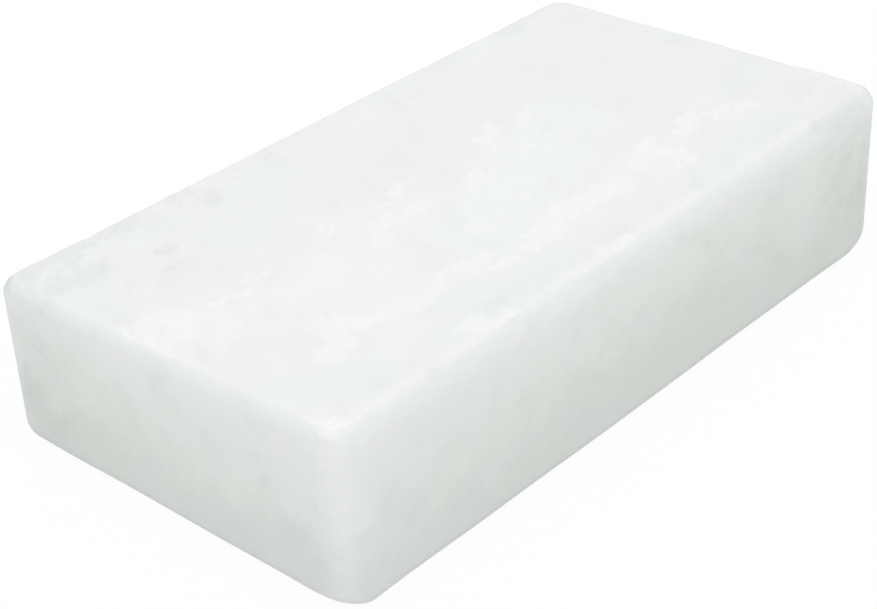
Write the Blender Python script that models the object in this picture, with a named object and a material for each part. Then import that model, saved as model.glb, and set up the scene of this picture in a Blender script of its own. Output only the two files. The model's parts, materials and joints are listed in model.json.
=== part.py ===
"""A brick of white rock salt: one block, sawn flat on six sides and rounded along its edges.

Metres, +Z up. The brick lies on its lower bed, with its length along X and its width along Y. The origin is
on that bed, in the middle of the brick's box. Run it in Blender, or with blender --background --python.
"""

import math

import bmesh
import bpy
from mathutils import Matrix, Vector

# The brick's three sizes, each taken through the middle of the block.
LENGTH = 0.203
WIDTH = 0.111
THICKNESS = 0.0464

# How far each saw cut is out of square, in degrees. Yaw turns a side about the upright, anticlockwise from
# above. Lean tips a side back, so that the brick is narrower at the top where it is positive.
FRONT_YAW, FRONT_LEAN = 0.2, 0.2
BACK_YAW, BACK_LEAN = -0.2, 0.2
LEFT_YAW, LEFT_LEAN = 0.6, -0.6
RIGHT_YAW, RIGHT_LEAN = -0.6, -0.4
# The upper bed slopes down towards +X and +Y where these are positive.
TOP_FALL_ALONG_X, TOP_FALL_ALONG_Y = -0.3, 1.5

# Radii of the rounding, by edge. Each upright's radius is larger than those of the beds that it runs into.
FRONT_LEFT_RADIUS = 0.0080
FRONT_RIGHT_RADIUS = 0.0064
BACK_LEFT_RADIUS = 0.0064
BACK_RIGHT_RADIUS = 0.0070
TOP_RADIUS = 0.0038
BOTTOM_RADIUS = 0.0060
UPRIGHT_SEGMENTS = 10
BED_SEGMENTS = 8

# The upright part of a face's normal is at least the first of these on a bed, and at most the second on a side.
BED_NORMAL = 0.99
SIDE_NORMAL = 0.2

SALT_COLOUR = (0.80, 0.83, 0.81, 1.0)
SALT_ROUGHNESS = 0.5
SALT_GLOW = 0.6
SALT_GLOW_DEPTH = (0.008, 0.009, 0.0085)
SALT_INDEX = 1.544


def clear_scene():
    """Takes every object out of the open file."""
    for thing in list(bpy.data.objects):
        bpy.data.objects.remove(thing, do_unlink=True)


def side_cut(outward, half_size, yaw, lean):
    """The plane of one upright cut, as its outward normal and its distance from the block's middle."""
    turned = Matrix.Rotation(math.radians(yaw), 3, "Z") @ Vector(outward)
    tip = math.radians(lean)
    return turned * math.cos(tip) + Vector((0.0, 0.0, math.sin(tip))), half_size


def top_cut():
    """The plane of the upper bed."""
    normal = Vector((math.sin(math.radians(TOP_FALL_ALONG_X)), math.sin(math.radians(TOP_FALL_ALONG_Y)), 1.0))
    return normal.normalized(), THICKNESS / 2


def meeting_point(first, second, third):
    """The point that three planes share."""
    normals = Matrix((first[0], second[0], third[0]))
    return normals.inverted() @ Vector((first[1], second[1], third[1]))


def sawn_block():
    """The block as sawn, with sharp edges: a cube whose eight corners go to where three cuts meet."""
    ends = {
        -1: side_cut((-1.0, 0.0, 0.0), LENGTH / 2, LEFT_YAW, LEFT_LEAN),
        1: side_cut((1.0, 0.0, 0.0), LENGTH / 2, RIGHT_YAW, RIGHT_LEAN),
    }
    long_sides = {
        -1: side_cut((0.0, -1.0, 0.0), WIDTH / 2, FRONT_YAW, FRONT_LEAN),
        1: side_cut((0.0, 1.0, 0.0), WIDTH / 2, BACK_YAW, BACK_LEAN),
    }
    beds = {
        -1: (Vector((0.0, 0.0, -1.0)), THICKNESS / 2),
        1: top_cut(),
    }
    block = bmesh.new()
    bmesh.ops.create_cube(block, size=2.0)
    for corner in block.verts:
        x, y, z = (round(part) for part in corner.co)
        corner.co = meeting_point(ends[x], long_sides[y], beds[z])
    block.normal_update()
    return block


def uprights_at(block, along_x, along_y):
    """The upright edges in one quarter of the plan: a single one, as long as that corner is still sharp."""
    found = []
    for edge in block.edges:
        low, high = (end.co for end in edge.verts)
        in_quarter = low.x * along_x > 0 and low.y * along_y > 0
        if in_quarter and abs(high.z - low.z) > THICKNESS / 2:
            found.append(edge)
    return found


def round_edges(block, edges, radius, segments):
    """Rolls each of these edges over to a circular arc of that radius."""
    bmesh.ops.bevel(
        block,
        geom=edges,
        offset=radius,
        offset_type="OFFSET",
        segments=segments,
        profile=0.5,
        affect="EDGES",
        clamp_overlap=True,
    )
    block.normal_update()


def bed_edges(block, facing):
    """The edges round the upper bed, where facing is 1, or round the lower one, where it is -1."""
    found = []
    for edge in block.edges:
        tilts = sorted(face.normal.z * facing for face in edge.link_faces)
        if tilts[-1] > BED_NORMAL and abs(tilts[0]) < SIDE_NORMAL:
            found.append(edge)
    return found


def set_on_origin(block):
    """Moves the block so that its lower bed is at Z 0, under the middle of its box."""
    places = [corner.co for corner in block.verts]
    middle_x = (min(p.x for p in places) + max(p.x for p in places)) / 2
    middle_y = (min(p.y for p in places) + max(p.y for p in places)) / 2
    floor = min(p.z for p in places)
    bmesh.ops.translate(block, verts=block.verts, vec=Vector((-middle_x, -middle_y, -floor)))


def salt_material():
    """White, cloudy rock salt: pale, matt where it was sawn, and lit a little way in from its surface."""
    material = bpy.data.materials.new("rock_salt")
    material.use_nodes = True
    shader = material.node_tree.nodes["Principled BSDF"]
    shader.inputs["Base Color"].default_value = SALT_COLOUR
    shader.inputs["Roughness"].default_value = SALT_ROUGHNESS
    shader.inputs["Metallic"].default_value = 0.0
    shader.inputs["IOR"].default_value = SALT_INDEX
    shader.inputs["Subsurface Weight"].default_value = SALT_GLOW
    shader.inputs["Subsurface Radius"].default_value = SALT_GLOW_DEPTH
    shader.inputs["Subsurface Scale"].default_value = 1.0
    material.diffuse_color = SALT_COLOUR
    return material


def salt_brick(collection):
    """The whole brick, one natural block with nothing joined to it."""
    block = sawn_block()
    round_edges(block, uprights_at(block, -1, -1), FRONT_LEFT_RADIUS, UPRIGHT_SEGMENTS)
    round_edges(block, uprights_at(block, 1, -1), FRONT_RIGHT_RADIUS, UPRIGHT_SEGMENTS)
    round_edges(block, uprights_at(block, -1, 1), BACK_LEFT_RADIUS, UPRIGHT_SEGMENTS)
    round_edges(block, uprights_at(block, 1, 1), BACK_RIGHT_RADIUS, UPRIGHT_SEGMENTS)
    round_edges(block, bed_edges(block, 1), TOP_RADIUS, BED_SEGMENTS)
    round_edges(block, bed_edges(block, -1), BOTTOM_RADIUS, BED_SEGMENTS)
    set_on_origin(block)
    mesh = bpy.data.meshes.new("salt_brick")
    block.to_mesh(mesh)
    block.free()
    mesh.shade_smooth()
    mesh.materials.append(salt_material())
    brick = bpy.data.objects.new("salt_brick", mesh)
    collection.objects.link(brick)
    flat_faces = brick.modifiers.new("flat faces stay flat", "WEIGHTED_NORMAL")
    flat_faces.mode = "FACE_AREA"
    flat_faces.weight = 100
    return brick


def main():
    clear_scene()
    collection = bpy.data.collections.new("rock_salt_brick")
    bpy.context.scene.collection.children.link(collection)
    salt_brick(collection)


main()
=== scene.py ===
"""The looks of a brick of white rock salt: its worn, cloudy surface and a plain pale studio round it.

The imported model's saw cuts are read from the frame, and the brick is made again between them as one fine
skin. Metres, +Z up, with the length along X and the origin under the middle of the brick.
"""

import json
import math

import bpy
import numpy as np
from bpy.props import FloatProperty, FloatVectorProperty, IntProperty, IntVectorProperty, PointerProperty
from mathutils import Matrix, Vector


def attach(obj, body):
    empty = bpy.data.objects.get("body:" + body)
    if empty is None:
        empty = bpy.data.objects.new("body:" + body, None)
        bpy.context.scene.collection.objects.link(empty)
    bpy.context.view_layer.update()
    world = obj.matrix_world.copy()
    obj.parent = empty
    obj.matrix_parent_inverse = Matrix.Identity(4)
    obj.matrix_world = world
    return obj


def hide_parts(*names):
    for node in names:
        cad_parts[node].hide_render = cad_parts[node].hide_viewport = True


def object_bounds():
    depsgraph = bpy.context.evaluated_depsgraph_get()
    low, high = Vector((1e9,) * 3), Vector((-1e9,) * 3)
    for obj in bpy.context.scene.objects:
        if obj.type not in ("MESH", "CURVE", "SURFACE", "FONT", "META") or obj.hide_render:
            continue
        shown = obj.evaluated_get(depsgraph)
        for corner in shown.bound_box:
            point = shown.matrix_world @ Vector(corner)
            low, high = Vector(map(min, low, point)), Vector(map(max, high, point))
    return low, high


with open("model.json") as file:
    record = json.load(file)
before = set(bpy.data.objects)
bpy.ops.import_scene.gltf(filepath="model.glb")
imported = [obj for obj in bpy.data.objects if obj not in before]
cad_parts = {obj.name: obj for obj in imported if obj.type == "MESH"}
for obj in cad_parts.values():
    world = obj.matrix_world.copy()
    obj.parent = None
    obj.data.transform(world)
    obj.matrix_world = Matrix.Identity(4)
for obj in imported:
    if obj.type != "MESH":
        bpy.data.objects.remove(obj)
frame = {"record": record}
CAD_BOX = [list(corner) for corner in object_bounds()]

bl_info = {
    "name": "Rock salt brick",
    "version": (1, 0, 0),
    "blender": (4, 5, 0),
    "location": "3D View > Sidebar > Salt brick",
    "description": "Makes a worn brick of cloudy white rock salt and a plain studio for it",
    "category": "Add Mesh",
}

MM = 0.001
NODE = "salt_brick"
BODY = "root"
UP = np.array((0.0, 0.0, 1.0))
BLOCK_MIDDLE = np.array([(low + high) / 2 for low, high in zip(*CAD_BOX)])

# How strongly the grid crowds towards the edges, along the length, the width and the thickness
CROWDING = (0.35, 0.62, 0.5)
# The upright cuts in the order in which by_side blends their sizes, and how far from a cut its own leads
UPRIGHT_CUTS = ("front_side", "left_end", "back_side", "right_end")
SIDE_REACH = 8 * MM
# The upright part of a normal where a bed begins and where it is full
BED_TILT = (0.93, 0.97)
LEAST_RADIUS = 0.5 * MM
LEAST_ARRIS = 0.02 * MM

# A wave is a sum of cosines, whose lengths are drawn between these shares of the wave's own
WAVE_RANGE = (0.65, 1.5)
# Lengths of the waves that the wear is drawn from, with the shares of the two along the arrises
UNEVEN_WAVE = 40 * MM
NIBBLE_WAVES = ((0.6, 9 * MM), (0.4, 3.5 * MM))
CHIP_WAVE = 5 * MM
HOLLOW_WAVE = 70 * MM
# The most of the uneven wave, and the chip wave's values where a chip begins and is full
UNEVEN_LIMIT = 1.6
CHIP_RISE = (1.1, 2.0)
# The depths below the upper bed between which chips fade out, and the height below which all wear does
CHIP_FADE = (5 * MM, 1 * MM)
WORN_ABOVE = 1.5 * MM

# How far down the sides the painted light under their upper edges reaches
EDGE_LIGHT_REACH = 15 * MM
# How far from the near upright the sides get painted light, how much, and the height where that is full
CORNER_LIGHT_REACH = 30 * MM
CORNER_LIGHT_SHARE = 0.5
CORNER_LIGHT_FULL = 36 * MM
# How far from the near upright the sides are lighter, as painted light
NEAR_LIGHT_REACH = 70 * MM
# The painted edge light's least share, how much of the rest a lip under the arris has, the depths between
# which that lip fades out, and those between which the edge light fills
EDGE_LIGHT_LEAST = 0.45
EDGE_LIGHT_LIP = 0.2
EDGE_LIGHT_LIP_FADE = (1.1 * MM, 0.3 * MM)
EDGE_LIGHT_RISE = (1.5 * MM, 5 * MM)
# How much thinner the dust is at an arris, and how far in from it
DUST_LOSS = 0.12
DUST_REACH = 2 * MM

# Which way the clouds run across the upper bed, turned from the length towards the width
BEDDING = np.radians(44)
# The clouds: size in millimetres, push, detail, roughness, and stretch along the bedding, across it and up
CLOUDS = {
    "Broad cloud": (26.0, 0.6, 3.0, 0.55, (0.55, 1.0, 0.9)),
    "Mottle": (8.0, 0.4, 5.0, 0.6, (0.6, 1.1, 0.9)),
    "Ragged": (3.0, 0.4, 6.0, 0.7, (0.65, 1.1, 1.0)),
    "Grain": (1.2, 0.2, 3.0, 0.6, (1.0, 1.0, 1.0)),
    "Tinge": (13.0, 0.5, 3.0, 0.55, (0.7, 1.0, 1.0)),
}
# The scale of the drift that bends a cloud, beside the cloud's own, and the reach of a push of 1, in clouds
DRIFT_FINENESS = 0.45
DRIFT_SPREAD = 4.0
# Where each mask of the salt begins and is full, as a height or as a value of what it reads
BANDS = {
    "From foot to bed": (4 * MM, 44 * MM),
    "Tinged": (0.28, 0.62),
    "Below the roll": (46 * MM, 38 * MM),
    "Towards the foot": (24 * MM, 2 * MM),
    "Dust clouds": (0.25, 0.75),
    "Haze in places": (0.2, 0.6),
    "Cloud edge": (0.32, 0.68),
    "Clear": (0.55, 0.95),
    "Ragged share": (0.3, 0.7),
    "Vein shows": (0.85, 1.3),
    "Spot shows": (0.85, 1.5),
    "Edge light in places": (0.1, 0.5),
    "Shade in places": (0.9, 0.1),
}
# The same for the milk, before half of the painted top light and a third of the painted near light move it up
MILK_BAND = (0.31, 0.69)
# How strong the painted shade of the foot is, and how much a cloudy or a ragged edge counts beside the
# place's own strength
FOOT_SHADE_SHARE = 0.6
CLOUDY_EDGE = 0.8
RAGGED_EDGE = 0.9
# How far the roughness goes either way with the mottle, and how much rougher it is where edge light is
# painted
GLOSS_SPREAD = 0.07
EDGE_LIGHT_ROUGHER = 0.12
# Shares of the grain and of the ragged cloud in the relief
FINE_RELIEF = 0.35
COARSE_RELIEF = 0.65

# White veins in the upper bed, in millimetres: the half width, the strength and the places that one passes.
VEINS = (
    (9, 1.0, ((-101, 2), (-92, 3), (-87, 7))),
    (6, 0.8, ((-99, 11), (-88, 11))),
    (4, 0.7, ((-79, 5), (-72, 3))),
    (4, 0.8, ((-67, 6), (-63, 5))),
    (9, 1.0, ((-77, -31), (-71, -25))),
    (5, 0.8, ((-73, -21), (-67, -20), (-65, -25))),
    (5, 0.85, ((-67, -27), (-60, -29), (-57, -30))),
    (4, 0.7, ((-54, -27), (-53, -33), (-46, -31), (-37, -27))),
    (4, 0.85, ((-37, -28), (-30, -31), (-26, -30))),
    (5, 0.8, ((-33, -34), (-26, -35))),
    (7, 1.0, ((-17, -35), (-8, -33))),
    (8, 1.0, ((-6, -31), (4, -31), (17, -33))),
    (4, 0.75, ((-5, -27), (-1, -25))),
    (6, 0.85, ((28, -30), (34, -28), (41, -25))),
    (7, 0.9, ((36, -29), (40, -33), (38, -38))),
    (6, 0.9, ((50, -28), (58, -25))),
    (5, 0.8, ((62, -29), (67, -30), (72, -33))),
    (6, 0.85, ((-37, -6), (-31, -1), (-27, 2))),
    (6, 0.9, ((-29, -2), (-18, -1))),
    (5, 0.75, ((-24, 4), (-16, 8), (-12, 10))),
    (4, 0.7, ((-44, 7), (-37, 11))),
    (4, 0.7, ((-53, -3), (-50, 0))),
    (5, 0.8, ((15, 5), (18, 10), (24, 13))),
    (5, 0.8, ((30, 8), (38, 13))),
    (9, 0.6, ((-4, -5), (5, -1))),
    (7, 0.6, ((18, -2), (22, 1))),
    (6, 1.0, ((-53, -48), (-45, -50))),
    (4, 0.75, ((-12, -50), (-1, -51))),
)

# Wide milky stretches of the upper bed, in the same form.
HAZES = (
    (20, 1.0, ((-16, -17), (8, -11), (38, 0))),
    (18, 0.55, ((-94, -2), (-62, -6), (-40, -10), (-24, -6))),
    (10, 0.4, ((-66, -28), (-30, -30), (0, -32), (36, -30))),
)

# Wide darker stretches, in the same form: darker places in the salt, and painted shade along the arrises,
# the far edges and the far ends. The sides under them are darker too.
SHADES = (
    (13, 1.0, ((-100, 54), (-88, 52))),
    (8, 0.9, ((-84, 36), (-88, 46))),
    (8, 0.9, ((-80, 52), (-62, 51))),
    (8, 0.8, ((-48, 53), (-45, 44))),
    (7, 0.7, ((-22, 52), (-20, 47))),
    (19, 0.35, ((-82, 22), (-68, 30))),
    (6, 0.7, ((74, 50), (82, 54))),
    (8, 0.5, ((88, 52), (97, 50))),
    (12, 0.2, ((8, 28), (24, 42))),
    (12, 0.2, ((-24, 18), (-6, 22))),
    (6, 0.5, ((90, 8), (95, 6))),
    (10, 0.25, ((95, 48), (96, 14))),
    (10, 0.25, ((-8, -44), (6, -47))),
    (6, 0.4, ((-90, -47), (96, -47))),
    (6, 0.4, ((-96, -40), (-96, 48))),
    (8, 0.25, ((-96, 55), (98, 55))),
    (8, 0.25, ((101, 50), (101, -46))),
    (36, 1.0, ((-103, 62), (-103, 50))),
    (36, 0.8, ((106, -60), (96, -61))),
)

# Grey places in the upper bed, in the same form.
SPOTS = (
    (5, 0.9, ((-69, 33), (-67, 33))),
    (3, 0.8, ((-76, 26), (-74, 25))),
    (5, 0.5, ((90, 9), (92, 7))),
    (16, 0.45, ((-99, 44), (-78, 48), (-45, 49), (-22, 50))),
)

# Green, clearer stretches of the upper bed, in the same form.
CLEARINGS = (
    (13, 1.0, ((-53, 25), (-42, 33), (-29, 40))),
    (20, 1.0, ((-19, -19), (5, -12), (28, -5), (41, 4))),
    (9, 1.0, ((32, -48), (50, -44), (68, -43))),
    (10, 1.0, ((79, -24), (93, -18))),
    (6, 0.5, ((95, 0), (96, 8))),
    (11, 1.0, ((-99, -33), (-88, -38), (-80, -42))),
    (8, 0.9, ((-50, -37), (-38, -38))),
    (8, 0.9, ((-56, -46), (-38, -47), (-18, -43))),
    (9, 1.0, ((-90, 36), (-83, 50))),
    (6, 0.9, ((-68, 44), (-58, 42))),
    (6, 0.9, ((20, 51), (64, 51))),
    (7, 0.9, ((72, 46), (80, 53))),
    (7, 0.9, ((-98, 44), (-97, 20))),
    (6, 0.6, ((56, 19), (64, 25))),
    (5, 0.5, ((25, 21), (27, 25))),
    (6, 0.6, ((32, 13), (39, 17))),
)

# Corners that have been knocked flat: the three cuts that meet there, and in millimetres how far from there
# the flat crosses the edges along X, Y and Z, and the radius round it.
WORN_CORNERS = (
    (("right_end", "front_side", "lower_bed"), (13.3, 5.6, 8.7), 1.5),
    (("left_end", "front_side", "lower_bed"), (8.1, 19.0, 4.8), 1.5),
)
# The near corner in the plan, in millimetres
NEAR_CORNER = (-101.7, -55.5)
# Where the upper edges were rolled over least, in millimetres, and how far round it that reaches
TIGHT_CORNER = (-101.2, -51.2)
TIGHT_REACH = 4.5 * MM
# A painted highlight whitens the bed beyond a line across the near corner: which way the line faces, how far
# out it lies, how far it is blurred to either side, and how strong the highlight is
HIGHLIGHT_FACING = (-0.628, -0.778)
HIGHLIGHT_START = 96.5 * MM
HIGHLIGHT_BLUR = 2.5 * MM
HIGHLIGHT_SHARE = 0.6
# Which way the painted highlight of the near upright faces, and how far round it the highlight reaches, in
# degrees
RIDGE_FACING = 215
RIDGE_REACH = 32
# How strong that highlight is all the way down, how much more at its top, and how far down that reaches
RIDGE_BASE = 0.35
RIDGE_TOP = 0.4
RIDGE_FADE = 7 * MM
# The larger level part of a normal where an upright begins and where it is full
UPRIGHT_TURN = (0.99, 0.8)


def colour_property(name, description, default):
    """A colour that a user may change."""
    return FloatVectorProperty(
        name=name, description=description, default=default, subtype="COLOR", size=3, min=0.0, max=1.0)


def share_property(name, description, default, most=1.0):
    """A share from 0 to 1, or to a smaller most."""
    return FloatProperty(
        name=name, description=description, default=default, min=0.0, max=most, subtype="FACTOR")


def length_property(name, description, default, least=0.0):
    """A length of at least some value."""
    return FloatProperty(name=name, description=description, default=default, min=least, unit="LENGTH")


def lengths_property(name, description, default, least=0.0):
    """Three lengths of at least some value."""
    return FloatVectorProperty(
        name=name, description=description, default=default, min=least, size=3, unit="LENGTH")


def angle_property(name, description, degrees):
    """An angle, with its default in degrees."""
    return FloatProperty(name=name, description=description, default=math.radians(degrees), subtype="ANGLE")


class BrickShape(bpy.types.PropertyGroup):
    """Sizes of the rounding and of the wear. The saw cuts themselves come from the frame."""

    front_left_radius: length_property(
        "Front left upright", "Radius between the front and the left end", 8.0 * MM, LEAST_RADIUS)
    front_right_radius: length_property(
        "Front right upright", "Radius between the front and the right end", 6.4 * MM, LEAST_RADIUS)
    back_left_radius: length_property(
        "Back left upright", "Radius between the back and the left end", 6.4 * MM, LEAST_RADIUS)
    back_right_radius: length_property(
        "Back right upright", "Radius between the back and the right end", 7.0 * MM, LEAST_RADIUS)
    upper_radius: lengths_property(
        "Upper edges", "Radius of the upper bed's edges: front, left end, and back and right end",
        (5.1 * MM, 4.0 * MM, 4.7 * MM), LEAST_RADIUS)
    arris: lengths_property(
        "Arrises", "How far the bed was planed down after those edges were rolled over",
        (0.55 * MM, 0.58 * MM, 0.4 * MM))
    nibble: lengths_property(
        "Nibble", "How much those arrises wander where grains have come away along them",
        (0.17 * MM, 0.12 * MM, 0.08 * MM))
    lower_radius: length_property(
        "Lower edges", "Radius of the edges round the lower bed", 6.0 * MM, LEAST_RADIUS)
    waver: share_property(
        "Waver", "How unevenly the edges are rolled over, as a share of their radius", 0.03, 0.5)
    swell: length_property(
        "Swell", "Depth of the slow hollows that smoothing by hand leaves", 0.1 * MM)
    tight: share_property(
        "Tight corner", "How much less the upper edges are rolled over at the near corner", 0.6, 0.9)
    chip_depth: length_property("Chips", "Depth of the small chips along the upper edges", 0.2 * MM)
    cells: IntVectorProperty(
        name="Cells", description="Steps of the skin's grid along the length, the width and the thickness",
        default=(228, 122, 56), min=8)
    seed: IntProperty(name="Seed", description="Starts the random draws of the wear", default=7)


class SaltFinish(bpy.types.PropertyGroup):
    """Colours and gloss of the salt, and how strongly each shows."""

    body_colour: colour_property(
        "Body", "The clearer, faintly green salt between the clouds", (0.647, 0.678, 0.658))
    cloud_colour: colour_property(
        "Cloud", "Salt made milky by fine inclusions", (0.722, 0.748, 0.733))
    tinge_colour: colour_property(
        "Tinge colour", "The tint of the yellower patches of the sides", (0.960, 1.000, 0.905))
    # Painted shade: the sides greyer towards the lower bed
    foot_shade_colour: colour_property(
        "Foot shade colour", "The plainer grey of the sides towards the lower bed", (0.652, 0.669, 0.660))
    dust_colour: colour_property(
        "Dust colour", "Neutral white dust on the beds, where it lies thick", (0.849, 0.850, 0.850))
    thin_dust_colour: colour_property(
        "Thin dust colour", "The same dust, where it lies thin", (0.814, 0.815, 0.815))
    # The vein colour is also that of the painted highlights of the near upright and the bed's near corner
    vein_colour: colour_property(
        "Vein", "The whitest salt, in the veins, the haze and the ridge of the near upright",
        (0.870, 0.872, 0.872))
    clearing_colour: colour_property(
        "Clearing colour", "The faint green tint of the upper bed's clearer stretches", (0.970, 1.000, 0.990))
    spot_colour: colour_property(
        "Spot", "Grey specks of clay under the surface", (0.75, 0.75, 0.75))
    # Painted light: the sides lighter under their upper edge and by the near upright
    edge_light_colour: colour_property(
        "Powder colour", "Salt powder on the sides, under their upper edge", (0.799, 0.814, 0.813))
    # Painted shade: the far uprights darker
    far_shade_colour: colour_property(
        "Rim colour", "The far uprights, rubbed clear by handling", (0.660, 0.675, 0.668))
    shade_colour: colour_property(
        "Shade colour", "The tint of the darker stretches", (0.860, 0.880, 0.890))
    # Painted light: the sides lighter towards the top and towards the near upright
    lift: share_property("Lift", "How much milkier the sides are at the top than at the foot", 0.3)
    near_light: share_property("Near light", "How much milkier the sides are by the near upright than far from it", 0.2)
    tinge: share_property("Tinge", "How strong the yellower patches are", 1.0)
    dust: share_property("Dust", "How much fine dust evens out the beds", 0.95)
    haze: share_property("Haze", "How much the wide haze whitens the upper bed", 0.85)
    clearing: share_property("Clearing", "How green the clearings of the upper bed are", 0.9)
    veins: share_property("Veins", "How white the veins are", 0.8)
    spots: share_property("Spots", "How grey the spots are", 0.6)
    # How strong the painted light under the upper edges is
    edge_light: share_property("Powder", "How white the sides are under their upper edge", 0.95)
    # How strong the painted shade of the far uprights is
    far_shade: share_property("Rim", "How clear the far uprights are", 0.5)
    # How strong the painted highlight of the near upright is
    ridge_highlight: share_property("Ridge", "How light the ridge of the near upright is", 0.42)
    shade: share_property("Shade", "How dark the darker stretches are", 0.8)
    grain: share_property("Grain", "How much the fine grain lightens and darkens the salt", 0.12)
    relief: length_property("Relief", "Height of the grain on the smoothed faces", 0.05 * MM)
    roughness: share_property("Roughness", "Roughness of the smoothed faces", 0.55)
    shine: share_property(
        "Shine", "Strength of the shine of the faces, as a share of twice that of clear salt", 0.08)
    glow: share_property("Glow", "Share of the light that enters the salt and comes out elsewhere", 0.4)
    glow_depth: lengths_property(
        "Glow depth", "How far light travels in the salt between scatterings, for red, green and blue",
        (7.0 * MM, 8.0 * MM, 7.6 * MM))
    index: FloatProperty(
        name="Index of refraction", description="Rock salt's index of refraction",
        default=1.544, min=1.0, max=3.0)


class StudioStage(bpy.types.PropertyGroup):
    """The floor, the light and the camera."""

    floor_radius: length_property("Floor", "Radius of the round floor", 4.0, 0.5)
    floor_colour: colour_property("Floor colour", "Colour of the floor", (0.90, 0.90, 0.90))
    floor_bleach: share_property(
        "Floor bleach", "How far the floor is overexposed to white, which leaves a faint shadow", 0.95)
    sky_strength: FloatProperty(
        name="Sky", description="Brightness of the even light from all round", default=0.85, min=0.0)
    lamp_power: FloatProperty(
        name="Lamp", description="Power of the large soft lamp overhead",
        default=18.0, min=0.0, subtype="POWER")
    lamp_size: length_property("Lamp size", "Side of the square lamp", 2.0, 0.1)
    lamp_distance: length_property("Lamp distance", "Distance of the lamp from the brick", 2.6, 0.5)
    lamp_azimuth: angle_property("Lamp azimuth", "Turn from the front, positive to the right", -46.0)
    lamp_elevation: angle_property("Lamp elevation", "Angle above the floor", 65.0)
    camera_azimuth: angle_property("Camera azimuth", "Turn from the front, positive to the right", -46.484)
    camera_elevation: angle_property("Camera elevation", "Angle above the floor", 31.342)
    camera_roll: angle_property(
        "Camera roll", "How far the camera leans clockwise about its line of sight", 2.739)
    camera_distance: length_property(
        "Camera distance", "Distance of the camera from the point it looks at", 0.50232, 0.05)
    camera_target: FloatVectorProperty(
        name="Camera target", description="The point that the camera looks at",
        default=(-10.04 * MM, 1.88 * MM, 13.77 * MM), size=3, unit="LENGTH")
    camera_lens: FloatProperty(
        name="Lens", description="Focal length in millimetres, on a sensor 36 mm wide",
        default=82.484, min=10.0)


def unit(vector):
    """A vector of the same direction and a length of one."""
    return vector / np.linalg.norm(vector)


def saw_cuts():
    """The six saw cuts by name, each as its outward normal and its distance from the origin along that."""
    cuts = {}
    for mount in frame["record"]["mounts"]:
        normal = unit(np.array(mount["axis"]))
        cuts[mount["name"]] = (normal, normal @ np.array(mount["pos_m"]))
    return cuts


def above(points, cut):
    """How far points are outside one cut: negative on the salt's side of it."""
    normal, distance = cut
    return points @ normal - distance


def meeting_point(met):
    """The point that three cuts have in common: its part along each normal is that cut's distance."""
    return np.linalg.solve(np.array([normal for normal, _ in met]), np.array([far for _, far in met]))


def box_skin(cells):
    """Whole-number places on the skin of a box of cells, and the quads that join them.

    The skin is six grids, one for each face: two of a point's three places run over all their steps, and the
    third stays at 0 or at its last step. The grids are welded where they share a place.
    """
    places = []
    quads = []
    count = 0
    for across in range(3):
        u, v = (across + 1) % 3, (across + 2) % 3
        first, second = np.meshgrid(np.arange(cells[u] + 1), np.arange(cells[v] + 1), indexing="ij")
        number = np.arange(first.size).reshape(first.shape)
        for end in (0, cells[across]):
            grid = np.full(first.shape + (3,), end)
            grid[..., u] = first
            grid[..., v] = second
            here = number + count
            corners = (here[:-1, :-1], here[1:, :-1], here[1:, 1:], here[:-1, 1:])
            quad = np.stack(corners, axis=-1).reshape(-1, 4)
            quads.append(quad if end else quad[:, ::-1])
            places.append(grid.reshape(-1, 3))
            count += first.size
    unique, welded = np.unique(np.concatenate(places), axis=0, return_inverse=True)
    return unique, welded.ravel()[np.concatenate(quads)]


def sawn_points(places, cells, cuts):
    """Points of the block as sawn, with sharp edges.

    A place t from 0 to 1 along each side becomes the share s = t - c sin(2 pi t) / (2 pi), which crowds the
    grid towards the edges where c is positive. A point is then the mean of the eight corners, each weighted
    by its own three shares, and each corner is the point that three cuts have in common.
    """
    t = places / np.array(cells)
    share = t - np.array(CROWDING) * np.sin(2 * np.pi * t) / (2 * np.pi)
    pairs = (("left_end", "right_end"), ("front_side", "back_side"), ("lower_bed", "upper_bed"))
    points = np.zeros(share.shape)
    for corner in np.ndindex(2, 2, 2):
        place = meeting_point([cuts[names[side]] for names, side in zip(pairs, corner)])
        weight = np.prod([share[:, k] if side else 1 - share[:, k] for k, side in enumerate(corner)], axis=0)
        points += weight[:, None] * place
    return points


def rolled(first, second, radius):
    """How far outside two cuts a point is, where they roll over into each other in an arc of that radius.

    With a and b the distances outside the two planes through the arc's centre, it is hypot(a, b) less the
    radius where both are positive, and the larger of the two distances elsewhere.
    """
    a = first + radius
    b = second + radius
    return np.minimum(np.maximum(a, b), 0) + np.hypot(np.maximum(a, 0), np.maximum(b, 0)) - radius


def waves(points, length, random, count=28):
    """Smooth noise of mean 0 and variance 1: a sum of cosine waves of about one length, every way."""
    heading = random.normal(size=(count, 3))
    heading /= np.linalg.norm(heading, axis=1)[:, None]
    number = 2 * np.pi / (length * random.uniform(*WAVE_RANGE, count))
    start = random.uniform(0, 2 * np.pi, count)
    return np.cos(points @ (heading * number[:, None]).T + start).sum(axis=1) / math.sqrt(count / 2)


def smooth_step(low, high, value):
    """0 at low, 1 at high and a smooth run between them; low may be the larger."""
    t = np.clip((value - low) / (high - low), 0, 1)
    return t * t * (3 - 2 * t)


def upright_radius(points, shape):
    """Each point's upright radius: that of the quarter of the plan that it is in."""
    left = np.where(points[:, 1] < 0, shape.front_left_radius, shape.back_left_radius)
    right = np.where(points[:, 1] < 0, shape.front_right_radius, shape.back_right_radius)
    return np.where(points[:, 0] < 0, left, right)


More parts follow.
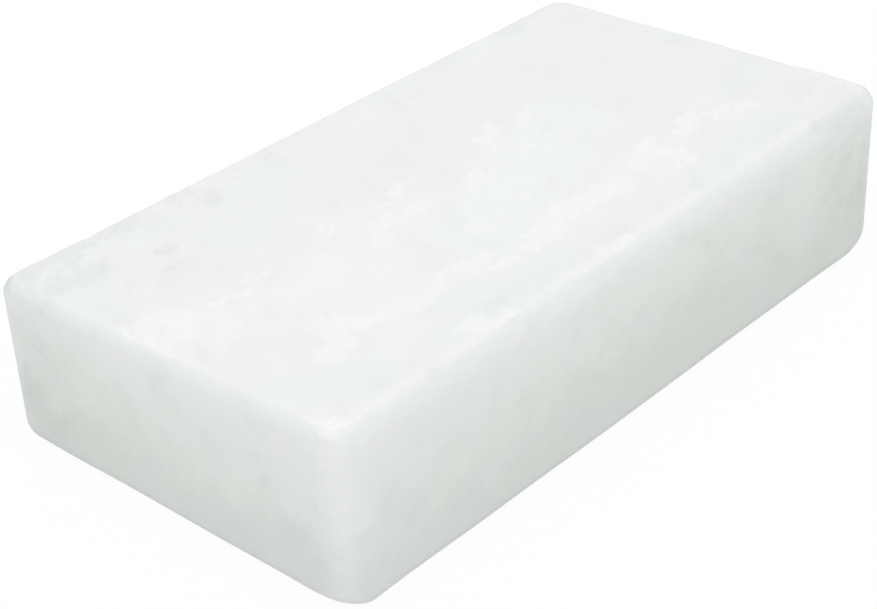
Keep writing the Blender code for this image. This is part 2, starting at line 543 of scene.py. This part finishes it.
def by_side(points, cuts, sizes):
    """A size that differs from side to side, blended smoothly where two sides meet.

    A side's weight is e to the power of a point's distance outside it over a reach: the nearest leads.
    """
    front, left, far = sizes
    weights = np.stack([np.exp(above(points, cuts[name]) / SIDE_REACH) for name in UPRIGHT_CUTS])
    return np.array((front, left, far, far)) @ weights / weights.sum(axis=0)


def knocked_flat(cuts, names, insets):
    """The plane of a knocked corner, through the three places where it crosses the edges that meet there."""
    corner = meeting_point([cuts[name] for name in names])
    normal = unit(np.sign(corner - BLOCK_MIDDLE) / np.array(insets))
    crossing = corner - np.sign(corner - BLOCK_MIDDLE) * np.array((insets[0] * MM, 0, 0))
    return normal, normal @ crossing


def outside(points, cuts, flats, sizes):
    """How far points are outside the rolled-over block.

    The two ends and the two long sides roll into each other first. What they make rolls into the lower bed,
    and into a plane a little above the upper bed, which then planes it off and leaves an arris. The knocked
    corners are flats that roll into all of it.
    """
    ends = np.maximum(above(points, cuts["left_end"]), above(points, cuts["right_end"]))
    long_sides = np.maximum(above(points, cuts["front_side"]), above(points, cuts["back_side"]))
    walls = rolled(ends, long_sides, sizes["upright"])
    top = above(points, cuts["upper_bed"])
    shoulder = np.maximum(rolled(walls, top - sizes["arris"], sizes["upper"]), top)
    foot = rolled(walls, above(points, cuts["lower_bed"]), sizes["lower"])
    block = np.maximum(shoulder, foot)
    for normal, distance, radius in flats:
        block = rolled(block, above(points, (normal, distance)), radius)
    return block


def slope(points, measure, step=1e-6):
    """The direction in which a measure of the points grows fastest, and how fast, by central differences."""
    sides = [measure(points + move) - measure(points - move) for move in np.eye(3) * step]
    return np.stack(sides, axis=1) / (2 * step)


def settled(points, measure, rounds=4):
    """Points slid along the slope of a measure until it is zero, by Newton's method."""
    for _ in range(rounds):
        steepest = slope(points, measure)
        points = points - (measure(points) / (steepest**2).sum(axis=1))[:, None] * steepest
    return points


def along_lines(points, lines):
    """How strongly each point lies on one of the lines: full on it, and none at its half width.

    The nearest point of a stretch is its start plus the share t of the way, with t kept between 0 and 1.
    With g the gap to it as a share of the half width, the strength is the square of 1 - g squared.
    """
    found = np.zeros(len(points))
    for half_width, full, places in lines:
        for start, end in zip(places[:-1], places[1:]):
            start = np.array(start) * MM
            way = np.array(end) * MM - start
            t = np.clip((points[:, :2] - start) @ way / (way @ way), 0, 1)
            gap = np.linalg.norm(points[:, :2] - start - t[:, None] * way, axis=1) / (half_width * MM)
            found = np.maximum(found, full * np.clip(1 - gap**2, 0, 1) ** 2)
    return found


def mesh_object(name, points, quads):
    """A mesh object of these points and quads, smooth shaded, at the origin."""
    mesh = bpy.data.meshes.new(name)
    mesh.vertices.add(len(points))
    mesh.vertices.foreach_set("co", points.astype(np.float32).ravel())
    mesh.loops.add(quads.size)
    mesh.loops.foreach_set("vertex_index", quads.astype(np.int32).ravel())
    mesh.polygons.add(len(quads))
    mesh.polygons.foreach_set("loop_start", np.arange(0, quads.size, 4, dtype=np.int32))
    mesh.update(calc_edges=True)
    mesh.validate()
    mesh.shade_smooth()
    thing = bpy.data.objects.new(name, mesh)
    bpy.context.scene.collection.objects.link(thing)
    return thing


def give_attribute(thing, name, values):
    """Keeps one number for each point of a mesh, for its material to read."""
    attribute = thing.data.attributes.new(name, "FLOAT", "POINT")
    attribute.data.foreach_set("value", values.astype(np.float32))


def plan_distance(points, corner):
    """How far points are, seen from above, from a corner of the plan that is given in millimetres."""
    return np.linalg.norm(points[:, :2] - np.array(corner) * MM, axis=1)


def edge_sizes(sawn, cuts, shape, random):
    """The radii of the edges by each point, and how far the bed is planed down there.

    A slow wave makes the radii uneven, and two quicker ones make the arrises wander. The upper radius and
    the arris shrink by a bell curve of the distance from the tight corner, and the wandering by a wider one.
    """
    uneven = 1 + shape.waver * np.clip(waves(sawn, UNEVEN_WAVE, random), -UNEVEN_LIMIT, UNEVEN_LIMIT)
    wander = sum(share * waves(sawn, length, random) for share, length in NIBBLE_WAVES)
    from_tight = plan_distance(sawn, TIGHT_CORNER)
    tightened = 1 - shape.tight * np.exp(-((from_tight / TIGHT_REACH) ** 2))
    wander *= 1 - np.exp(-((from_tight / (2 * TIGHT_REACH)) ** 2))
    arris = by_side(sawn, cuts, shape.arris) + by_side(sawn, cuts, shape.nibble) * wander
    return {
        "upright": upright_radius(sawn, shape),
        "upper": by_side(sawn, cuts, shape.upper_radius) * uneven * tightened,
        "arris": np.maximum(arris * tightened, LEAST_ARRIS),
        "lower": shape.lower_radius * uneven,
    }


def wear_depth(points, sawn, below_bed, bed, shape, random):
    """How far the salt is worn in at each point.

    Chips are where their wave stands high and the point is just under the upper bed. Hollows are half, plus
    a quarter of a slow wave, kept between 0 and 1. Both fade out at the lower bed, which stays flat.
    """
    at_edge = smooth_step(*CHIP_FADE, below_bed) * (1 - bed)
    chips = smooth_step(*CHIP_RISE, waves(sawn, CHIP_WAVE, random)) * at_edge
    hollows = np.clip(0.5 + 0.25 * waves(sawn, HOLLOW_WAVE, random), 0, 1)
    off_floor = smooth_step(0.0, WORN_ABOVE, points @ UP)
    return (shape.swell * hollows + shape.chip_depth * chips) * off_floor


def dusted(points, normals, cuts, sizes):
    """How dusty each point of the beds is: wholly where it faces up or down, and less beside an arris.

    An arris lies in from a side by the upper radius r less the root of a (2 r - a), with a the planed depth.
    """
    inset = -np.max([above(points, cuts[name]) for name in UPRIGHT_CUTS], axis=0)
    lip = sizes["upper"] - np.sqrt(sizes["arris"] * (2 * sizes["upper"] - sizes["arris"]))
    thinner = 1 - DUST_LOSS * smooth_step(DUST_REACH, 0, inset - lip)
    return smooth_step(*BED_TILT, np.abs(normals @ UP)) * thinner


def painted_edge_light(points, below_bed, from_corner):
    """How much painted light each point of the sides gets.

    It is the larger of two, each e to the power of minus a distance over a reach. One is the depth below the
    bed, the other the distance from the near corner, with a share and faded towards the foot. Both are
    thinner by the arris.
    """
    off_foot = smooth_step(0.0, CORNER_LIGHT_FULL, points @ UP)
    near_corner = CORNER_LIGHT_SHARE * off_foot * np.exp(-from_corner / CORNER_LIGHT_REACH)
    lit_edges = np.maximum(np.exp(-below_bed / EDGE_LIGHT_REACH), near_corner)
    thick = EDGE_LIGHT_LIP * smooth_step(*EDGE_LIGHT_LIP_FADE, below_bed) + smooth_step(*EDGE_LIGHT_RISE, below_bed)
    return lit_edges * (EDGE_LIGHT_LEAST + (1 - EDGE_LIGHT_LEAST) * thick)


def painted_upright_light_and_shade(normals, below_bed, from_corner):
    """How far each point is in the painted highlight of the near upright, and how far in the painted shade of
    a far upright.

    The painted highlight fades with the turn of the normal from its facing, and from the top down to a base.
    An upright is where neither level part of the normal is nearly all of it, and a bell curve leaves out the
    near one.
    """
    level = normals[:, :2] / np.maximum(np.linalg.norm(normals[:, :2], axis=1), 1e-6)[:, None]
    turned = np.degrees(np.arctan2(level[:, 1], level[:, 0])) % 360
    light = RIDGE_BASE + RIDGE_TOP * np.exp(-below_bed / RIDGE_FADE)
    ridge_highlight = smooth_step(RIDGE_REACH, 0, np.abs(turned - RIDGE_FACING)) * light
    far = 1 - np.exp(-((from_corner / CORNER_LIGHT_REACH) ** 2))
    return ridge_highlight, smooth_step(*UPRIGHT_TURN, np.abs(level).max(axis=1)) * far


def worn_brick(shape):
    """The brick's skin, worn, with what its material reads kept on it.

    The sawn points slide onto the rolled-over block and are then moved inwards, along their normals, by the
    depth of the wear.
    """
    random = np.random.default_rng(shape.seed)
    cuts = saw_cuts()
    flats = [(*knocked_flat(cuts, names, insets), radius * MM) for names, insets, radius in WORN_CORNERS]
    cells = tuple(shape.cells)
    places, quads = box_skin(cells)
    sawn = sawn_points(places, cells, cuts)
    sizes = edge_sizes(sawn, cuts, shape, random)

    def measure(points):
        return outside(points, cuts, flats, sizes)

    points = settled(sawn, measure)
    normals = slope(points, measure)
    normals /= np.linalg.norm(normals, axis=1)[:, None]
    below_bed = -above(points, cuts["upper_bed"])
    bed = smooth_step(*BED_TILT, normals @ UP)
    points = points - wear_depth(points, sawn, below_bed, bed, shape, random)[:, None] * normals

    brick = mesh_object("salt_brick_skin", points, quads)
    from_corner = plan_distance(sawn, NEAR_CORNER)
    ridge_highlight, far_shade = painted_upright_light_and_shade(normals, below_bed, from_corner)
    # Painted highlight of the bed beyond a line across the near corner
    beyond = points[:, :2] @ np.array(HIGHLIGHT_FACING) - HIGHLIGHT_START
    corner_highlight = HIGHLIGHT_SHARE * smooth_step(-HIGHLIGHT_BLUR, HIGHLIGHT_BLUR, beyond)
    masks = {
        "bed": dusted(points, normals, cuts, sizes),
        # Painted light under the upper edges and by the near corner
        "edge_light": painted_edge_light(points, below_bed, from_corner) * (1 - bed),
        "ridge_highlight": ridge_highlight * (1 - bed),
        # Painted shade of the far uprights
        "far_shade": far_shade * (1 - bed),
        # How near the near upright each point is, for the painted light there
        "near": np.exp(-from_corner / NEAR_LIGHT_REACH),
        # The veins, with the painted highlight of the near corner
        "vein": np.maximum(along_lines(points, VEINS), corner_highlight) * bed,
        "haze": along_lines(points, HAZES) * bed,
        "shade": along_lines(points, SHADES),
        "clearing": along_lines(points, CLEARINGS) * bed,
        "spot": along_lines(points, SPOTS) * bed,
    }
    for name, values in masks.items():
        give_attribute(brick, name, values)
    return brick


def feed(tree, source, target):
    """Joins an output to an input, or sets the input where the source is a plain value."""
    if isinstance(source, bpy.types.NodeSocket):
        tree.links.new(source, target)
    else:
        target.default_value = source


def node(tree, kind, label, sources=None, **settings):
    """A new node with its label, what its inputs read or are set to, and any of its own settings."""
    made = tree.nodes.new(kind)
    made.label = label
    for name, value in settings.items():
        setattr(made, name, value)
    for name, source in (sources or {}).items():
        feed(tree, source, made.inputs[name])
    return made


def sums(tree, operation, label, first, second, clamp=False):
    """One step of arithmetic on two values."""
    given = {0: first, 1: second}
    return node(tree, "ShaderNodeMath", label, given, operation=operation, use_clamp=clamp).outputs[0]


def band(tree, label, value, low, high):
    """0 where a value is at low, 1 at high and a smooth run between them; low may be the larger."""
    given = {"Value": value, "From Min": low, "From Max": high}
    step = node(tree, "ShaderNodeMapRange", label, given, interpolation_type="SMOOTHSTEP", clamp=True)
    return step.outputs["Result"]


def shown(tree, label, value):
    """How far a value is from where the mask of that label begins to where it is full."""
    return band(tree, label, value, *BANDS[label])


def opaque(colour):
    """A colour property with its alpha, or an output as it is."""
    return colour if isinstance(colour, bpy.types.NodeSocket) else (*colour, 1.0)


def blend_colour(tree, label, share, first, second, blend="MIX"):
    """The first colour where the share is 0, and what that blend makes of the two where it is 1."""
    given = {0: share, 6: opaque(first), 7: opaque(second)}
    mix = node(tree, "ShaderNodeMix", label, given, data_type="RGBA", blend_type=blend, clamp_factor=True)
    return mix.outputs[2]


def layer(tree, label, under, over, mask, strength, blend="MIX"):
    """One colour over another, or blended with it, by the product of a mask and a strength."""
    share = sums(tree, "MULTIPLY", label + " share", mask, strength)
    return blend_colour(tree, label, share, under, over, blend)


def drift_group():
    """A node group: clouds of salt, drawn out along one way and bent by a slower drift.

    The place is scaled by the stretch, pushed aside by slow noise and read by noise of the cloud's own size.
    """
    group = bpy.data.node_groups.new("salt_drift", "ShaderNodeTree")
    face = group.interface
    face.new_socket("Vector", in_out="INPUT", socket_type="NodeSocketVector")
    for name in ("Size", "Push", "Detail", "Roughness"):
        face.new_socket(name, in_out="INPUT", socket_type="NodeSocketFloat")
    face.new_socket("Stretch", in_out="INPUT", socket_type="NodeSocketVector")
    face.new_socket("Value", in_out="OUTPUT", socket_type="NodeSocketFloat")

    given = node(group, "NodeGroupInput", "Given").outputs
    fine = sums(group, "DIVIDE", "One over size", 1.0, given["Size"])
    stretched = {0: given["Vector"], 1: given["Stretch"]}
    drawn_out = node(group, "ShaderNodeVectorMath", "Drawn out", stretched, operation="MULTIPLY").outputs[0]
    coarse = sums(group, "MULTIPLY", "Slow", fine, DRIFT_FINENESS)
    slow_place = {"Vector": drawn_out, "Scale": coarse, "Detail": 1.0}
    slow = node(group, "ShaderNodeTexNoise", "Slow drift", slow_place)
    off_middle = {0: slow.outputs["Color"], 1: (0.5, 0.5, 0.5)}
    centred = node(group, "ShaderNodeVectorMath", "Centred", off_middle, operation="SUBTRACT")
    reach = sums(group, "MULTIPLY", "Reach", given["Size"], given["Push"])
    push = {0: centred.outputs[0], "Scale": sums(group, "MULTIPLY", "Spread", reach, DRIFT_SPREAD)}
    pushed = node(group, "ShaderNodeVectorMath", "Pushed", push, operation="SCALE")
    both = {0: drawn_out, 1: pushed.outputs[0]}
    place = node(group, "ShaderNodeVectorMath", "Place", both, operation="ADD").outputs[0]
    cloud = {"Vector": place, "Scale": fine, "Detail": given["Detail"], "Roughness": given["Roughness"]}
    value = node(group, "ShaderNodeTexNoise", "Cloud", cloud).outputs[0]
    node(group, "NodeGroupOutput", "Out", {"Value": value})
    return group


def drift(tree, group, name, place):
    """The cloud of that name, read at a place in millimetres."""
    values = dict(zip(("Size", "Push", "Detail", "Roughness", "Stretch"), CLOUDS[name]), Vector=place)
    return node(tree, "ShaderNodeGroup", name, values, node_tree=group).outputs["Value"]


def kept(tree, name):
    """A number that the mesh keeps for each point."""
    return node(tree, "ShaderNodeAttribute", name, attribute_name=name).outputs["Fac"]


def salt_fields(tree):
    """What the salt's looks are worked out from, by name: its clouds and each point's height.

    The clouds read the brick's own places in millimetres, turned to run along the bedding. The broad cloud
    and the mottle are also added up, at half of each.
    """
    on_brick = node(tree, "ShaderNodeTexCoord", "On the brick").outputs["Object"]
    turned = {"Vector": on_brick, "Scale": (1 / MM, 1 / MM, 1 / MM), "Rotation": (0.0, 0.0, -BEDDING)}
    place = node(tree, "ShaderNodeMapping", "In millimetres", turned).outputs["Vector"]
    group = drift_group()
    fields = {name: drift(tree, group, name, place) for name in CLOUDS}
    halves = [sums(tree, "MULTIPLY", "Half", fields[name], 0.5) for name in ("Broad cloud", "Mottle")]
    fields["Both clouds"] = sums(tree, "ADD", "Both clouds", *halves)
    fields["Height"] = node(tree, "ShaderNodeSeparateXYZ", "Height", {0: on_brick}).outputs["Z"]
    return fields


def body_salt(tree, finish, fields):
    """The salt under its dust: milky clouds in a clearer body, yellower patches and painted shade at the
    foot.

    The milk is a band of the clouds, raised by painted light towards the upper bed and towards the near
    upright. The yellower patches fade out towards that upright and at the roll under the upper bed.
    """
    near = kept(tree, "near")
    lift = sums(tree, "MULTIPLY", "Lift", shown(tree, "From foot to bed", fields["Height"]), finish.lift)
    lit_upwards = sums(tree, "ADD", "Painted light upwards", fields["Both clouds"], lift)
    milky = sums(tree, "ADD", "Painted light near", lit_upwards, sums(tree, "MULTIPLY", "Nearer", near, finish.near_light))
    raised = finish.lift / 2 + finish.near_light / 3
    milk = band(tree, "Milk", milky, MILK_BAND[0] + raised, MILK_BAND[1] + raised)
    colour = blend_colour(tree, "Body and cloud", milk, finish.body_colour, finish.cloud_colour)
    far = sums(tree, "SUBTRACT", "Far", 1.0, near)
    tinged = sums(tree, "MULTIPLY", "Tinged far", shown(tree, "Tinged", fields["Tinge"]), far)
    tinged = sums(tree, "MULTIPLY", "Tinged below", tinged, shown(tree, "Below the roll", fields["Height"]))
    colour = layer(tree, "Yellower", colour, finish.tinge_colour, tinged, finish.tinge, "MULTIPLY")
    foot = shown(tree, "Towards the foot", fields["Height"])
    return layer(tree, "Painted foot shade", colour, finish.foot_shade_colour, foot, FOOT_SHADE_SHARE)


def bed_salt(tree, finish, fields, colour):
    """The beds over that: neutral dust in lighter and darker clouds, haze, clearings, veins and spots.

    A clearing shows where its strength and a cloudy edge together pass a band, and tints the dust the green
    of the body. A vein or a spot shows where its strength and a ragged edge do.
    """
    dusty = shown(tree, "Dust clouds", fields["Both clouds"])
    dusty = blend_colour(tree, "Dust", dusty, finish.thin_dust_colour, finish.dust_colour)
    colour = layer(tree, "Dusty", colour, dusty, kept(tree, "bed"), finish.dust)
    places = shown(tree, "Haze in places", fields["Mottle"])
    hazy = sums(tree, "MULTIPLY", "Hazy", kept(tree, "haze"), places)
    colour = layer(tree, "Hazed", colour, finish.vein_colour, hazy, finish.haze)

    cloudy = sums(tree, "MULTIPLY", "Cloudy", shown(tree, "Cloud edge", fields["Both clouds"]), CLOUDY_EDGE)
    clear = shown(tree, "Clear", sums(tree, "ADD", "Clearing reach", kept(tree, "clearing"), cloudy))
    colour = layer(tree, "Cleared", colour, finish.clearing_colour, clear, finish.clearing, "MULTIPLY")

    ragged = sums(tree, "MULTIPLY", "Torn", shown(tree, "Ragged share", fields["Ragged"]), RAGGED_EDGE)
    vein = shown(tree, "Vein shows", sums(tree, "ADD", "Vein reach", kept(tree, "vein"), ragged))
    colour = layer(tree, "Veined", colour, finish.vein_colour, vein, finish.veins)
    spot = shown(tree, "Spot shows", sums(tree, "ADD", "Spot reach", kept(tree, "spot"), ragged))
    return layer(tree, "Spotted", colour, finish.spot_colour, spot, finish.spots)


def painted_light_shade_and_grain(tree, finish, fields, colour, lit_edges):
    """Painted edge light, far shade and upright highlight over that, then darker stretches and the fine
    grain.
    """
    colour = layer(tree, "Powdered", colour, finish.edge_light_colour, lit_edges, finish.edge_light)
    colour = layer(tree, "Clear rim", colour, finish.far_shade_colour, kept(tree, "far_shade"), finish.far_shade)
    colour = layer(tree, "Light ridge", colour, finish.vein_colour, kept(tree, "ridge_highlight"), finish.ridge_highlight)
    places = shown(tree, "Shade in places", fields["Mottle"])
    shaded = sums(tree, "MULTIPLY", "Shaded", kept(tree, "shade"), places)
    colour = layer(tree, "In shade", colour, finish.shade_colour, shaded, finish.shade, "MULTIPLY")
    return blend_colour(tree, "Specked", finish.grain, colour, fields["Grain"], "SOFT_LIGHT")


def salt_roughness(tree, finish, fields, lit_edges):
    """The finish's roughness, a little more or less with the mottle, and rougher where edge light is painted.
    """
    given = {
        "Value": fields["Mottle"],
        "From Min": 0.3,
        "From Max": 0.7,
        "To Min": finish.roughness - GLOSS_SPREAD,
        "To Max": finish.roughness + GLOSS_SPREAD,
    }
    gloss = node(tree, "ShaderNodeMapRange", "Gloss", given, clamp=True).outputs["Result"]
    rougher = sums(tree, "MULTIPLY", "Edge light part", lit_edges, EDGE_LIGHT_ROUGHER)
    return sums(tree, "ADD", "Rougher powder", gloss, rougher, clamp=True)


def salt_relief(tree, finish, fields):
    """The normal, from a bump whose height is shares of the grain and of the ragged cloud."""
    fine = sums(tree, "MULTIPLY", "Fine part", fields["Grain"], FINE_RELIEF)
    coarse = sums(tree, "MULTIPLY", "Coarse part", fields["Ragged"], COARSE_RELIEF)
    height = sums(tree, "ADD", "Relief", fine, coarse)
    given = {"Strength": 0.5, "Distance": finish.relief, "Height": height}
    return node(tree, "ShaderNodeBump", "Bump", given).outputs["Normal"]


def salt_material(finish):
    """White, cloudy rock salt, smoothed by hand: milky clouds, ragged veins, grey spots, painted light and
    shade.
    """
    material = bpy.data.materials.new("rock_salt")
    material.use_nodes = True
    tree = material.node_tree
    fields = salt_fields(tree)
    # Where light is painted under the upper edges and by the near corner
    places = shown(tree, "Edge light in places", fields["Mottle"])
    lit_edges = sums(tree, "MULTIPLY", "Edge lit", kept(tree, "edge_light"), places)
    colour = bed_salt(tree, finish, fields, body_salt(tree, finish, fields))
    looks = {
        "Base Color": painted_light_shade_and_grain(tree, finish, fields, colour, lit_edges),
        "Roughness": salt_roughness(tree, finish, fields, lit_edges),
        "Normal": salt_relief(tree, finish, fields),
        "IOR": finish.index,
        "Specular IOR Level": finish.shine,
        "Subsurface Weight": finish.glow,
        "Subsurface Radius": finish.glow_depth,
        "Subsurface Scale": 1.0,
    }
    for name, source in looks.items():
        feed(tree, source, tree.nodes["Principled BSDF"].inputs[name])
    material.diffuse_color = opaque(finish.cloud_colour)
    return material


def round_floor(radius, rings=12, spokes=64):
    """A flat round floor: rings whose radius grows with the square of their number, on even spokes."""
    radii = np.linspace(0, 1, rings + 1)[1:] ** 2 * radius
    turns = np.linspace(0, 2 * np.pi, spokes + 1)[:-1]
    ring, turn = np.meshgrid(radii, turns, indexing="ij")
    places = (ring * np.cos(turn), ring * np.sin(turn), np.zeros(ring.shape))
    points = np.stack(places, axis=-1).reshape(-1, 3)
    number = np.arange(len(points)).reshape(ring.shape)
    beside = np.roll(number, -1, axis=1)
    quads = np.stack((number[:-1], number[1:], beside[1:], beside[:-1]), axis=-1).reshape(-1, 4)
    middle = number[0].reshape(-1, 1)
    inner = np.concatenate((middle[0::2], middle[1::2], np.roll(middle, -2)[0::2]), axis=1)
    centre = np.full((len(inner), 1), len(points))
    quads = np.concatenate((quads, np.concatenate((centre, inner), axis=1)))
    return mesh_object("studio_floor", np.concatenate((points, np.zeros((1, 3)))), quads)


def floor_material(stage):
    """A plain, matt, pale floor, bleached for the camera as an overexposed sheet of paper is."""
    material = bpy.data.materials.new("studio_floor")
    material.use_nodes = True
    tree = material.node_tree
    shader = tree.nodes["Principled BSDF"]
    shader.inputs["Base Color"].default_value = opaque(stage.floor_colour)
    shader.inputs["Roughness"].default_value = 0.9
    shader.inputs["Specular IOR Level"].default_value = 0.0
    white = node(tree, "ShaderNodeEmission", "Plain white").outputs[0]
    seen = node(tree, "ShaderNodeLightPath", "Seen").outputs["Is Camera Ray"]
    share = sums(tree, "MULTIPLY", "Bleach share", seen, stage.floor_bleach)
    mix = node(tree, "ShaderNodeMixShader", "Bleached", {0: share, 1: shader.outputs[0], 2: white})
    feed(tree, mix.outputs[0], tree.nodes["Material Output"].inputs["Surface"])
    return material


def towards(azimuth, elevation):
    """The direction at an azimuth a, from the front and positive to the right, and an elevation e.

    It is sin a cos e to the right, cos a cos e to the front and sin e upwards.
    """
    return Vector((
        math.sin(azimuth) * math.cos(elevation),
        -math.cos(azimuth) * math.cos(elevation),
        math.sin(elevation),
    ))


def add_lamp(stage):
    """One large square lamp that faces the brick."""
    data = bpy.data.lights.new("soft_lamp", "AREA")
    data.energy = stage.lamp_power
    data.size = stage.lamp_size
    lamp = bpy.data.objects.new("soft_lamp", data)
    way = towards(stage.lamp_azimuth, stage.lamp_elevation)
    lamp.location = way * stage.lamp_distance
    lamp.rotation_euler = (-way).to_track_quat("-Z", "Y").to_euler()
    bpy.context.scene.collection.objects.link(lamp)


def add_sky(strength):
    """An even white light from all round."""
    world = bpy.data.worlds.new("soft_sky")
    world.use_nodes = True
    background = world.node_tree.nodes["Background"]
    background.inputs["Color"].default_value = (1.0, 1.0, 1.0, 1.0)
    background.inputs["Strength"].default_value = strength
    bpy.context.scene.world = world


def add_camera(stage):
    """The camera, at the angle from which the brick is seen, with a small roll."""
    data = bpy.data.cameras.new("camera")
    data.lens = stage.camera_lens
    data.sensor_width = 36.0
    data.clip_start = 0.01
    camera = bpy.data.objects.new("camera", data)
    back = towards(stage.camera_azimuth, stage.camera_elevation)
    upright = (-back).to_track_quat("-Z", "Y").to_matrix()
    turn = (upright @ Matrix.Rotation(-stage.camera_roll, 3, "Z")).to_4x4()
    place = Vector(stage.camera_target) + back * stage.camera_distance
    camera.matrix_world = Matrix.Translation(place) @ turn
    bpy.context.scene.collection.objects.link(camera)
    bpy.context.scene.camera = camera


class BuildBrick(bpy.types.Operator):
    """Makes the worn, cloudy salt brick between the saw cuts of the frame"""

    bl_idname = "salt_brick.build_brick"
    bl_label = "Build the brick"

    def execute(self, context):
        brick = worn_brick(context.scene.brick_shape)
        brick.data.materials.append(salt_material(context.scene.salt_finish))
        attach(brick, BODY)
        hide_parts(NODE)
        return {"FINISHED"}


class BuildStage(bpy.types.Operator):
    """Makes the pale floor, the soft light and the camera"""

    bl_idname = "salt_brick.build_stage"
    bl_label = "Build the studio"

    def execute(self, context):
        stage = context.scene.studio_stage
        floor = round_floor(stage.floor_radius)
        floor.data.materials.append(floor_material(stage))
        add_lamp(stage)
        add_sky(stage.sky_strength)
        add_camera(stage)
        context.scene.view_settings.view_transform = "Standard"
        return {"FINISHED"}


class SaltBrickPanel(bpy.types.Panel):
    """Lists the operators and the values that they use"""

    bl_idname = "VIEW3D_PT_salt_brick"
    bl_label = "Rock salt brick"
    bl_space_type = "VIEW_3D"
    bl_region_type = "UI"
    bl_category = "Salt brick"

    def draw(self, context):
        layout = self.layout
        layout.operator(BuildBrick.bl_idname)
        layout.operator(BuildStage.bl_idname)
        for group in (context.scene.brick_shape, context.scene.salt_finish, context.scene.studio_stage):
            box = layout.box()
            for name in type(group).__annotations__:
                box.prop(group, name)


CLASSES = (BrickShape, SaltFinish, StudioStage, BuildBrick, BuildStage, SaltBrickPanel)


def register():
    for kind in CLASSES:
        bpy.utils.register_class(kind)
    bpy.types.Scene.brick_shape = PointerProperty(type=BrickShape)
    bpy.types.Scene.salt_finish = PointerProperty(type=SaltFinish)
    bpy.types.Scene.studio_stage = PointerProperty(type=StudioStage)


def unregister():
    del bpy.types.Scene.studio_stage
    del bpy.types.Scene.salt_finish
    del bpy.types.Scene.brick_shape
    for kind in reversed(CLASSES):
        bpy.utils.unregister_class(kind)


def main():
    register()
    bpy.ops.salt_brick.build_brick()
    bpy.ops.salt_brick.build_stage()


if __name__ == "__main__":
    main()
